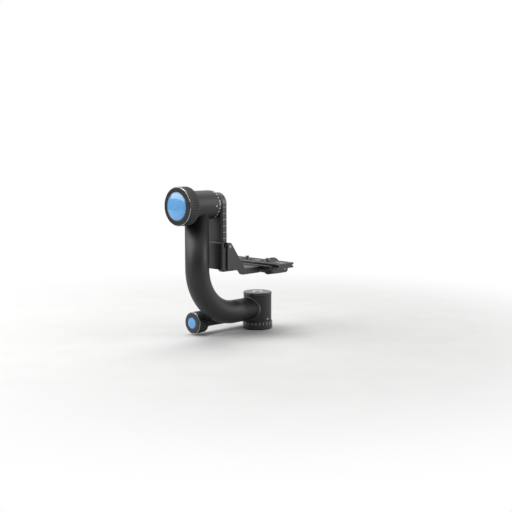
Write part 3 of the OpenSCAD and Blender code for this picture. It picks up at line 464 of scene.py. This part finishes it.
# ---- Finish of the CAD nodes ---------------------------------------------------------------------
# Width of the eased edge in mm on nodes that show; the others keep the CAD's edges. The hub and the
# cradle have short edges where bores and slopes meet, and a wider one would fold over there.
EASED_EDGES = {
    "base_disc": 0.25,
    "pan_scale_ring": 0.2,
    "pan_hub": 0.15,
    "hub_cap": 0.25,
    "pan_lock_sleeve": 0.3,
    "tilt_housing": 0.35,
    "tilt_scale_ring": 0.2,
    "tilt_shaft": 0.25,
    "swing_rail": 0.3,
    "cradle_bracket": 0.2,
    "rear_plate": 0.25,
    "clamp_base": 0.35,
    "clamp_jaw": 0.35,
    "lens_plate": 0.3,
    "level_cup": 0.15,
}
# Points this close in mm are joined, neighbours that turn by less than the first angle become one
# face, and an edge that turns by more than the second is eased
SEAM_GAP = 0.002
FLAT_WITHIN_DEG = 0.5
EDGE_FROM_DEG = 35
LARGE_FACE_WEIGHT = 90


def ease_edges(node, width_mm):
    """Rounds a node's sharp edges. Large faces then set the normals, so that flats stay flat and
    barrels stay round."""
    flat = node.modifiers.new("whole_faces", "DECIMATE")
    flat.decimate_type = "DISSOLVE"
    flat.angle_limit = math.radians(FLAT_WITHIN_DEG)
    eased = node.modifiers.new("eased_edges", "BEVEL")
    eased.width = width_mm * MM
    eased.segments = 2
    eased.limit_method = "ANGLE"
    eased.angle_limit = math.radians(EDGE_FROM_DEG)
    eased.use_clamp_overlap = False
    node.modifiers.new("face_weighted_normals", "WEIGHTED_NORMAL").weight = LARGE_FACE_WEIGHT


for part in frame["record"]["subparts"]:
    node = frame["nodes"][part["node"]]
    finish = NODE_MATERIALS.get(part["node"], SLOT_MATERIALS[part["material_slot"]])
    node.data.materials.clear()
    node.data.materials.append(finish)
    node.modifiers.new("join_seams", "WELD").merge_threshold = SEAM_GAP * MM
    if part["node"] in EASED_EDGES:
        ease_edges(node, EASED_EDGES[part["node"]])


# ---- Mesh helpers --------------------------------------------------------------------------------
# How deep a filled mark is set into its surface, and how far it stands out, in mm
MARK_DEPTH = 0.25
MARK_PROUD = 0.03


def add_piece(name, vertices, faces, body, materials, replaces=(), smooth=True):
    """A closed mesh that rides on a CAD body. replaces names the CAD nodes that it is shown for."""
    mesh = bpy.data.meshes.new(name)
    mesh.from_pydata([tuple(v) for v in vertices], [], faces)
    shape = bmesh.new()
    shape.from_mesh(mesh)
    bmesh.ops.recalc_face_normals(shape, faces=shape.faces)
    shape.to_mesh(mesh)
    shape.free()
    for material in materials:
        mesh.materials.append(material)
    if smooth:
        mesh.shade_smooth()
    else:
        mesh.shade_flat()
    piece = bpy.data.objects.new(name, mesh)
    scene.collection.objects.link(piece)
    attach(piece, body)
    if replaces:
        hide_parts(*replaces)
    return piece


def spun_mesh(outline, place, steps, carve=None):
    """Vertices and faces of an outline of (radius, depth) points in mm turned about place's Z axis.
    The outline is a closed loop, or starts and ends on the axis. carve(angle, index) is added
    to the radius."""
    vertices, rings = [], []
    for i, (radius, depth) in enumerate(outline):
        if radius == 0:
            rings.append([len(vertices)])
            vertices.append(place @ Vector((0, 0, depth * MM)))
            continue
        ring = []
        for k in range(steps):
            angle = 2 * math.pi * k / steps
            r = (radius + (carve(angle, i) if carve else 0)) * MM
            ring.append(len(vertices))
            vertices.append(place @ Vector((r * math.cos(angle), r * math.sin(angle), depth * MM)))
        rings.append(ring)
    faces = []
    on_axis = len(rings[0]) == 1
    pairs = list(zip(rings, rings[1:])) + ([] if on_axis else [(rings[-1], rings[0])])
    for a, b in pairs:
        for k in range(steps):
            n = (k + 1) % steps
            if len(a) == 1:
                faces.append((a[0], b[n], b[k]))
            elif len(b) == 1:
                faces.append((a[k], a[n], b[0]))
            else:
                faces.append((a[k], a[n], b[n], b[k]))
    return vertices, faces


def box_marks(places):
    """Thin closed blocks set into a surface, one per (centre, u, v, normal, half_u, half_v)."""
    vertices, faces = [], []
    for centre, u, v, normal, half_u, half_v in places:
        s = len(vertices)
        for n in (-MARK_DEPTH, MARK_PROUD):
            for a, b in ((-1, -1), (1, -1), (1, 1), (-1, 1)):
                vertices.append(centre + (u * a * half_u + v * b * half_v + normal * n) * MM)
        faces += [
            (s, s + 3, s + 2, s + 1),
            (s + 4, s + 5, s + 6, s + 7),
            (s, s + 1, s + 5, s + 4),
            (s + 1, s + 2, s + 6, s + 5),
            (s + 2, s + 3, s + 7, s + 6),
            (s + 3, s, s + 4, s + 7),
        ]
    return vertices, faces


def arc_points(centre_r, centre_z, radius, start_deg, end_deg, count):
    """Points of an arc in an outline's (radius, depth) plane."""
    points = []
    for k in range(count + 1):
        a = math.radians(start_deg + (end_deg - start_deg) * k / count)
        points.append((centre_r + radius * math.cos(a), centre_z + radius * math.sin(a)))
    return points


def inward(radius, steps):
    """Radii of a crowned surface, from the first step inside its rim to its axis."""
    return [radius * (1 - k / steps) for k in range(1, steps + 1)]


# ---- Knobs ---------------------------------------------------------------------------------------
# Turns that lay a Z axis along each direction
AXES = {
    "+x": Matrix.Rotation(math.radians(90), 4, "Y"),
    "-x": Matrix.Rotation(math.radians(-90), 4, "Y"),
    "-y": Matrix.Rotation(math.radians(90), 4, "X"),
    "+y": Matrix.Rotation(math.radians(-90), 4, "X"),
}
# The CAD core's chamfer, the plain rim behind it and the flat ring round the disc, in mm
CHAMFER = 1.8
RIM = 1.2
FACE_RING = 6.0
# Rubber sleeve in mm: its wall, the round at its back and the angle that this starts from, the lip
# at its front, the plain band before the flutes, and how far the band's edge lies in front of them
GRIP_WALL = 3.0
BACK_ROUND = 2.2
BACK_ROUND_FROM_DEG = 15
LIP = 0.35
LIP_CORNER = 0.1
PLAIN_BAND = 2.6
BAND_EDGE = 0.5
FLUTE_RINGS = 8
# Flutes: spacing and depth in mm; width as a share of the spacing; run-in and start of the fading
# end as shares of their length, and how fast they fade there
FLUTE_PITCH = 4.3
FLUTE_DEPTH = 1.0
FLUTE_WIDTH = 0.62
FLUTE_RUN_IN = 0.2
FLUTE_FADES_FROM = 0.75
FLUTE_FADE = 2.4
STEPS_PER_FLUTE = 12
# Polished line on the chamfer's outer part in mm: width, how proud it stands, how far it laps over
# the corner, how deep it is rooted, and how far it keeps from the corner's tip
BRIGHT_EDGE = 0.55
LINE_PROUD = 0.05
LINE_LAP = 0.015
LINE_ROOT = 0.2
LINE_CORNER = 0.12
# Domed disc: rise as a share of its radius; border in mm, or its share of a small disc's radius;
# the pocket's depth, the gaps under and round the disc, the rim's step and the side's start, in mm
BADGE_DOME = 0.085
BADGE_BORDER = 1.7
BADGE_BORDER_SHARE = 0.12
BADGE_SINK = 0.9
BADGE_FLOOR_GAP = 0.02
BADGE_GAP = 0.1
BADGE_EDGE = 0.05
BADGE_SIDE = 0.2
# A resin drop rounds off faster towards its edge than a lens does, whose power is 2
DROP_POWER = 2.5
DISC_RINGS = 16
BORDER_RINGS = 5


def knob_place(name, inward_axis):
    """Where a knob's face centre is, with Z into the head, and its radius and length in mm."""
    low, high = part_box(name + "_core")
    centre = (low + high) / 2
    axis = {"x": 0, "y": 1}[inward_axis[1]]
    centre[axis] = low[axis] if inward_axis[0] == "+" else high[axis]
    across = (high[2] - low[2]) / 2
    place = Matrix.Translation(centre) @ AXES[inward_axis]
    return place, across / MM, (high - low)[axis] / MM


def add_grip(name, place, radius, length, body):
    """Fluted rubber sleeve of a knob. Flutes deepen behind the plain band and fade at the back."""
    inner = radius - GRIP_WALL
    front = CHAMFER + RIM
    plain = front + PLAIN_BAND
    flat_end = length - BACK_ROUND
    face = [
        (inner, front),
        (radius - LIP, front),
        (radius - LIP_CORNER, front + LIP_CORNER),
        (radius, front + LIP),
        (radius, plain - BAND_EDGE),
    ]
    ring_gap = (flat_end - plain) / FLUTE_RINGS
    fluted = [(radius, plain + ring_gap * k) for k in range(FLUTE_RINGS + 1)]
    fluted += arc_points(radius - BACK_ROUND, flat_end, BACK_ROUND, BACK_ROUND_FROM_DEG, 90, 5)
    outline = face + fluted + [(inner, length)]
    flutes = round(2 * math.pi * radius / FLUTE_PITCH)

    def flute(angle, index):
        share = (index - len(face)) / (len(fluted) - 1)
        if share < 0 or share > 1:
            return 0
        phase = (angle * flutes / (2 * math.pi)) % 1
        across = abs(phase - 0.5) * 2
        run_in = min(1, share / FLUTE_RUN_IN)
        fade = 1 - max(0, share - FLUTE_FADES_FROM) * FLUTE_FADE
        valley = max(0, 1 - (across / FLUTE_WIDTH) ** 2) ** 0.5
        return -FLUTE_DEPTH * run_in * fade * valley

    vertices, faces = spun_mesh(outline, place, flutes * STEPS_PER_FLUTE, flute)
    add_piece(
        name + "_rubber", vertices, faces, body, [rubber], [name + "_grip"]
    )


def add_bright_edge(name, place, radius, body):
    """Thin polished line along the outer part of a knob's chamfer."""
    inset = CHAMFER - BRIGHT_EDGE
    line = [
        (radius - BRIGHT_EDGE - LINE_PROUD, inset - LINE_PROUD),
        (radius - LINE_CORNER + LINE_LAP, CHAMFER - LINE_CORNER - LINE_PROUD),
        (radius - LINE_ROOT, CHAMFER + LINE_PROUD),
        (radius - BRIGHT_EDGE + LINE_ROOT - LINE_PROUD, inset + LINE_ROOT),
    ]
    vertices, faces = spun_mesh(line, place, steps=160)
    add_piece(
        name + "_bright_edge", vertices, faces, body, [bright_aluminium]
    )


def add_blue_disc(name, place, radius, body):
    """Domed resin disc of a knob, printed blue with a deeper border."""
    disc = radius - CHAMFER - FACE_RING - BADGE_GAP
    printed = disc - min(BADGE_BORDER, disc * BADGE_BORDER_SHARE)
    rise = BADGE_DOME * disc
    floor_depth = BADGE_SINK - BADGE_FLOOR_GAP
    radii = [printed * k / DISC_RINGS for k in range(1, DISC_RINGS + 1)]
    border = disc - BADGE_EDGE - printed
    radii += [printed + border * k / BORDER_RINGS for k in range(1, BORDER_RINGS + 1)]
    crown = [(r, -rise * (1 - (r / disc) ** DROP_POWER)) for r in radii]
    outline = [(0, -rise)] + crown + [(disc, BADGE_SIDE), (disc, floor_depth), (0, floor_depth)]
    vertices, faces = spun_mesh(outline, place, steps=128)
    piece = add_piece(
        name + "_blue_disc",
        vertices,
        faces,
        body,
        [blue_print, border_print],
        [name + "_badge"],
    )
    to_knob = place.inverted()
    for face in piece.data.polygons:
        spot = to_knob @ face.center
        if math.hypot(spot.x, spot.y) > printed * MM:
            face.material_index = 1


for knob, inward_axis in (
    ("tilt_knob", "+x"),
    ("pan_knob", "+x"),
    ("height_knob", "-y"),
    ("clamp_knob", "-x"),
):
    place, radius, length = knob_place(knob, inward_axis)
    body = frame["nodes"][knob + "_core"]["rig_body"]
    add_grip(knob, place, radius, length, body)
    add_bright_edge(knob, place, radius, body)
    add_blue_disc(knob, place, radius, body)


# ---- Dials, scales and index dots ----------------------------------------------------------------
DIAL_STEP_DEG = 15
# Rail marks in mm: how many, their spacing, the first one's drop below the tilt axis, the place of
# their middle along X, and their length and width
RAIL_MARKS = 7
RAIL_STEP = 10
RAIL_FIRST_DROP = 3.4
RAIL_MARK_X = -95.4
RAIL_MARK = (6.2, 0.7)
# Index dots in mm: radius, depth, crown, and the rounded rim as (in from the edge, proud)
DOT_R = 1.7
DOT_SINK = 0.3
DOT_CROWN = 0.1
DOT_RIM = ((0, 0.02), (0.08, 0.06))
PAN_DOT_Z = 18
TILT_DOT_X = -115.5
TILT_DOT_DROP = 1


def add_dial_marks(name, place, radius, along, length, width, first_deg, body):
    """Filled marks round a ring, with their middles at along on place's Z axis. Sizes are in mm."""
    turn = place.to_3x3()
    up = turn @ Vector((0, 0, 1))
    marks = []
    for k in range(360 // DIAL_STEP_DEG):
        angle = math.radians(first_deg + DIAL_STEP_DEG * k)
        out = Vector((math.cos(angle), math.sin(angle), 0))
        side = Vector((-math.sin(angle), math.cos(angle), 0))
        centre = place @ (out * radius * MM + Vector((0, 0, along * MM)))
        marks.append((centre, turn @ side, up, turn @ out, width / 2, length / 2))
    vertices, faces = box_marks(marks)
    add_piece(name, vertices, faces, body, [white_fill], smooth=False)


def add_rail_marks(axis_z, face_y):
    """Height scale on the rail's side that faces -Y."""
    across, up, out = Vector((1, 0, 0)), Vector((0, 0, 1)), Vector((0, -1, 0))
    half_length, half_width = RAIL_MARK[0] / 2, RAIL_MARK[1] / 2
    marks = []
    for k in range(RAIL_MARKS):
        z = axis_z - (RAIL_FIRST_DROP + RAIL_STEP * k) * MM
        centre = Vector((RAIL_MARK_X * MM, face_y, z))
        marks.append((centre, across, up, out, half_length, half_width))
    vertices, faces = box_marks(marks)
    add_piece("rail_scale_marks", vertices, faces, "swing", [white_fill], smooth=False)


def add_index_dot(name, centre):
    """Paint-filled dot on a side of the arm that faces -Y, crowned a hair above the surface."""
    rim = [(DOT_R - inset, -proud) for inset, proud in DOT_RIM]
    outline = [(0, DOT_SINK), (DOT_R, DOT_SINK)] + rim + [(0, -DOT_CROWN)]
    vertices, faces = spun_mesh(outline, Matrix.Translation(centre) @ AXES["+y"], steps=32)
    add_piece(name, vertices, faces, "arm", [white_fill])


_, pan_ring_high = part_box("pan_scale_ring")
add_dial_marks(
    "pan_scale_marks",
    Matrix.Identity(4),
    radius=pan_ring_high.x / MM,
    along=10.3,
    length=4.0,
    width=0.9,
    first_deg=8,
    body="base",
)
tilt_ring_low, tilt_ring_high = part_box("tilt_scale_ring")
tilt_axis_z = (tilt_ring_low.z + tilt_ring_high.z) / 2
add_dial_marks(
    "tilt_scale_marks",
    Matrix.Translation(Vector((tilt_ring_low.x, 0, tilt_axis_z))) @ AXES["+x"],
    radius=(tilt_ring_high.z - tilt_ring_low.z) / 2 / MM,
    along=1.9,
    length=3.3,
    width=1.35,
    first_deg=-3,
    body="swing",
)
rail_low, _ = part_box("swing_rail")
add_rail_marks(tilt_axis_z, rail_low.y)
hub_low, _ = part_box("pan_hub")
add_index_dot("pan_index_dot", Vector((0, hub_low.y, PAN_DOT_Z * MM)))
housing_low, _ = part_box("tilt_housing")
add_index_dot(
    "tilt_index_dot", Vector((TILT_DOT_X * MM, housing_low.y, tilt_axis_z - TILT_DOT_DROP * MM))
)


# ---- Bubble level --------------------------------------------------------------------------------
# In mm: the cup's wall, the gap between it and the spirit, and the vial's depth below the cup's rim
CUP_WALL = 1.4
VIAL_GAP = 0.02
VIAL_DEPTH = 3.3
# The spirit: its shoulder as (in from the vial's wall, below the rim), the depths of its wall's top
# and of its middle below the rim, and its crown
SPIRIT_SHOULDER = (0.4, 0.62)
SPIRIT_WALL_TOP = 0.7
SPIRIT_DROP = 0.35
SPIRIT_CROWN = 0.25
# The lens: its underside's depth, its lower and upper edge as (in from the vial's wall, below the
# rim), how far its middle rises above the rim, and its crown
LENS_UNDERSIDE = 0.3
LENS_EDGE = ((0.1, 0.5), (0.05, 0.1))
LENS_RISE = 0.5
LENS_CROWN = 0.6
# The bubble: radius, depth below the rim, and how proud of the spirit its edge and top stand
BUBBLE_R = 1.5
BUBBLE_DEPTH = 1.2
BUBBLE_PROUD = (0.01, 0.03)
# The ring that the bubble is centred in: radii, and how deep and how proud it sits in the spirit
TARGET_R = (2.0, 2.3)
TARGET_SINK = 0.2
TARGET_PROUD = 0.02

cup_low, cup_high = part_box("level_cup")
vial_r = (cup_high.x - cup_low.x) / 2 / MM - CUP_WALL
at_rim = Matrix.Translation((0, 0, cup_high.z))


def spirit_top(radius):
    """Height of the spirit's crowned top at a radius, from the cup's rim."""
    return -SPIRIT_DROP - SPIRIT_CROWN * (radius / vial_r) ** 2


def lens_top(radius):
    """Height of the lens's crowned top at a radius, from the cup's rim."""
    return LENS_RISE - LENS_CROWN * (radius / vial_r) ** 2


def add_level_spirit():
    """Spirit in its vial, crowned under the lens."""
    wall = vial_r - VIAL_GAP
    inset, drop = SPIRIT_SHOULDER
    outline = [(0, -VIAL_DEPTH), (wall, -VIAL_DEPTH)]
    outline += [(wall, -SPIRIT_WALL_TOP), (vial_r - inset, -drop)]
    outline += [(r, spirit_top(r)) for r in inward(vial_r, steps=6)]
    vertices, faces = spun_mesh(outline, at_rim, steps=64)
    add_piece(
        "level_spirit", vertices, faces, "arm", [level_spirit], ["level_vial"]
    )


def add_level_lens():
    """Clear domed lens that closes the vial."""
    outline = [(0, -LENS_UNDERSIDE)] + [(vial_r - inset, -drop) for inset, drop in LENS_EDGE]
    outline += [(r, lens_top(r)) for r in inward(vial_r, steps=7)]
    vertices, faces = spun_mesh(outline, at_rim, steps=64)
    add_piece("level_lens", vertices, faces, "arm", [acrylic])


def add_level_bubble():
    """Air bubble in the middle of the spirit's top."""
    edge_proud, top_proud = BUBBLE_PROUD
    edge = spirit_top(BUBBLE_R) + edge_proud
    outline = [(0, -BUBBLE_DEPTH), (BUBBLE_R, -BUBBLE_DEPTH), (BUBBLE_R, edge)]
    outline += [(r, spirit_top(r) + top_proud) for r in inward(BUBBLE_R, steps=5)]
    vertices, faces = spun_mesh(outline, at_rim, steps=40)
    add_piece("level_bubble", vertices, faces, "arm", [bubble_air])


def add_level_target_ring():
    """Dark ring that the bubble is centred in."""
    below = [(r, spirit_top(r) - TARGET_SINK) for r in TARGET_R]
    above = [(r, spirit_top(r) + TARGET_PROUD) for r in reversed(TARGET_R)]
    vertices, faces = spun_mesh(below + above, at_rim, steps=64)
    add_piece("level_target_ring", vertices, faces, "arm", [acetal])


add_level_spirit()
add_level_lens()
add_level_bubble()
add_level_target_ring()


# ---- Lens plate pads -----------------------------------------------------------------------------
# A strip's inner and outer edge in mm from the plate's middle, and its ribs. One rib's outline has
# points of (share of the pitch from its +X foot, drop from the top in mm).
PAD_X = (7.5, 15.5)
PAD_RIBS = 6
RIB_DROP = 0.45
RIB_OUTLINE = ((0.14, 0.06), (0.25, 0), (0.61, 0), (0.72, 0.06), (0.86, RIB_DROP))


def add_pad_strip(label, side):
    """Ribbed rubber strip along the lens plate. side is -1 on the -X side and 1 on the +X side."""
    low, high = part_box("lens_plate_pads")
    top, bottom = high.z / MM, low.z / MM
    x0, x1 = sorted((side * PAD_X[0], side * PAD_X[1]))
    pitch = (x1 - x0) / PAD_RIBS
    profile = [(x0, bottom), (x1, bottom), (x1, top - RIB_DROP)]
    for k in range(PAD_RIBS):
        profile += [(x1 - pitch * (k + share), top - drop) for share, drop in RIB_OUTLINE]
    profile.append((x0, top - RIB_DROP))
    vertices = [Vector((x * MM, y, z * MM)) for y in (low.y, high.y) for x, z in profile]
    n = len(profile)
    faces = [tuple(range(n)), tuple(reversed(range(n, 2 * n)))]
    faces += [(k, k + n, (k + 1) % n + n, (k + 1) % n) for k in range(n)]
    add_piece(
        "plate_rubber_strip_" + label,
        vertices,
        faces,
        "lens_plate",
        [rubber],
        ["lens_plate_pads"],
        smooth=False,
    )


add_pad_strip("left", -1)
add_pad_strip("right", 1)


# ---- Floor, flag, surroundings and light ---------------------------------------------------------
# Radii in m between which the floor fades into the white surroundings
FLOOR_FADE = (0.28, 0.75)
FLOOR_RADIUS = 4
# A hair above the head's underside, which would otherwise be black when seen from below, in mm
FLOOR_LIFT = 0.05
# The flag's radius and its lower and upper edge in m, the azimuths it spans, and its steps
FLAG_RADIUS = 1.9
FLAG_HEIGHT = (0.001, 0.85)
FLAG_AZIMUTH_DEG = (108, 278)
FLAG_STEPS = 24
# The white surroundings' strength where they light the object; where they are seen it is 1
FILL_STRENGTH = 0.24
# The lamps stand round the middle of the head
HEAD_MIDDLE = Vector((-0.06, 0, 0.12))


def make_floor_paint():
    """Pale painted studio floor that keeps the head's shadow and fades into the white surroundings.
    It is clear from below, and bounces light back up as a duller floor would."""
    material, tree = new_material("pale_painted_studio_floor")
    spot = add_node(tree, "ShaderNodeTexCoord").outputs["Object"]
    away = add_node(tree, "ShaderNodeVectorMath", {0: spot}, operation="LENGTH").outputs["Value"]
    span = {"Value": away, "From Min": FLOOR_FADE[0], "From Max": FLOOR_FADE[1]}
    fade = add_node(tree, "ShaderNodeMapRange", span, interpolation_type="SMOOTHSTEP")
    colour = two_tone(tree, grain(tree, 60), "#e9e9e8", "#ededec")
    paint = add_node(tree, "ShaderNodeBsdfPrincipled", {"Base Color": colour, "Roughness": 0.8})
    glow = add_node(tree, "ShaderNodeEmission", {"Color": WHITE, "Strength": 1.0})
    pair = {0: fade.outputs["Result"], 1: paint.outputs["BSDF"], 2: glow.outputs["Emission"]}
    faded = add_node(tree, "ShaderNodeMixShader", pair).outputs["Shader"]
    below = add_node(tree, "ShaderNodeNewGeometry").outputs["Backfacing"]
    clear = add_node(tree, "ShaderNodeBsdfTransparent").outputs["BSDF"]
    one_sided = add_node(tree, "ShaderNodeMixShader", {0: below, 1: faded, 2: clear})
    bounced = add_node(tree, "ShaderNodeLightPath").outputs["Is Diffuse Ray"]
    dull = add_node(tree, "ShaderNodeBsdfDiffuse", {"Color": linear("#9a9a9a")}).outputs["BSDF"]
    pair = {0: bounced, 1: one_sided.outputs["Shader"], 2: dull}
    by_ray = add_node(tree, "ShaderNodeMixShader", pair)
    add_node(tree, "ShaderNodeOutputMaterial", {"Surface": by_ray.outputs["Shader"]})
    return material


def make_flag_cloth():
    """Black woven studio cloth that shades the camera's side; the camera looks through it."""
    material, tree = new_material("black_studio_flag_cloth")
    colour = two_tone(tree, grain(tree, 30), "#0c0c0c", "#121212")
    cloth = add_node(tree, "ShaderNodeBsdfDiffuse", {"Color": colour}).outputs["BSDF"]
    clear = add_node(tree, "ShaderNodeBsdfTransparent").outputs["BSDF"]
    seen = add_node(tree, "ShaderNodeLightPath").outputs["Is Camera Ray"]
    by_ray = add_node(tree, "ShaderNodeMixShader", {0: seen, 1: cloth, 2: clear})
    add_node(tree, "ShaderNodeOutputMaterial", {"Surface": by_ray.outputs["Shader"]})
    return material


def lay_floor():
    """Round floor under the head."""
    mesh = bpy.data.meshes.new("studio_floor")
    shape = bmesh.new()
    bmesh.ops.create_circle(shape, cap_ends=True, segments=96, radius=FLOOR_RADIUS)
    shape.to_mesh(mesh)
    shape.free()
    mesh.materials.append(make_floor_paint())
    floor = bpy.data.objects.new("studio_floor", mesh)
    floor.location.z = FLOOR_LIFT * MM
    scene.collection.objects.link(floor)


def hang_flag():
    """Curved cloth round the camera's side and the left, which dark paint and metal mirror."""
    start, end = FLAG_AZIMUTH_DEG
    points = []
    for k in range(FLAG_STEPS + 1):
        turn = math.radians(start + (end - start) * k / FLAG_STEPS)
        x, y = FLAG_RADIUS * math.cos(turn), FLAG_RADIUS * math.sin(turn)
        points += [(x, y, height) for height in FLAG_HEIGHT]
    faces = [(2 * k, 2 * k + 2, 2 * k + 3, 2 * k + 1) for k in range(FLAG_STEPS)]
    mesh = bpy.data.meshes.new("studio_flag")
    mesh.from_pydata(points, [], faces)
    mesh.materials.append(make_flag_cloth())
    flag = bpy.data.objects.new("studio_flag", mesh)
    scene.collection.objects.link(flag)


def surround_with_white():
    """White to the camera, in metal and through glass; a weaker fill where it lights the object."""
    world = bpy.data.worlds.new("white_surroundings")
    world.use_nodes = True
    scene.world = world
    tree = world.node_tree
    tree.nodes.clear()
    rays = add_node(tree, "ShaderNodeLightPath").outputs
    pair = {0: rays["Is Camera Ray"], 1: rays["Is Glossy Ray"]}
    either = add_node(tree, "ShaderNodeMath", pair, operation="ADD").outputs["Value"]
    pair = {0: either, 1: rays["Is Transmission Ray"]}
    shown = add_node(tree, "ShaderNodeMath", pair, operation="ADD", use_clamp=True)
    span = {"Value": shown.outputs["Value"], "To Min": FILL_STRENGTH, "To Max": 1.0}
    strength = add_node(tree, "ShaderNodeMapRange", span).outputs["Result"]
    white = add_node(tree, "ShaderNodeBackground", {"Color": WHITE, "Strength": strength})
    add_node(tree, "ShaderNodeOutputWorld", {"Surface": white.outputs["Background"]})


def add_soft_box(name, azimuth, elevation, distance, width, height, watts):
    """A rectangular soft box aimed at the middle of the head; angles in degrees, sizes in m."""
    a, e = math.radians(azimuth), math.radians(elevation)
    towards = Vector((math.cos(a) * math.cos(e), math.sin(a) * math.cos(e), math.sin(e)))
    data = bpy.data.lights.new(name, "AREA")
    data.shape = "RECTANGLE"
    data.size = width
    data.size_y = height
    data.energy = watts
    light = bpy.data.objects.new(name, data)
    light.location = HEAD_MIDDLE + distance * towards
    light.rotation_euler = (-towards).to_track_quat("-Z", "Y").to_euler()
    scene.collection.objects.link(light)


lay_floor()
hang_flag()
surround_with_white()
add_soft_box(
    "left_soft_box", azimuth=146, elevation=26, distance=1.6, width=1.5, height=1.1, watts=20
)
add_soft_box(
    "right_soft_box", azimuth=305, elevation=22, distance=1.8, width=1.0, height=1.0, watts=9
)
add_soft_box(
    "overhead_soft_box", azimuth=60, elevation=72, distance=1.8, width=1.4, height=0.8, watts=18
)

scene.view_settings.view_transform = "Standard"
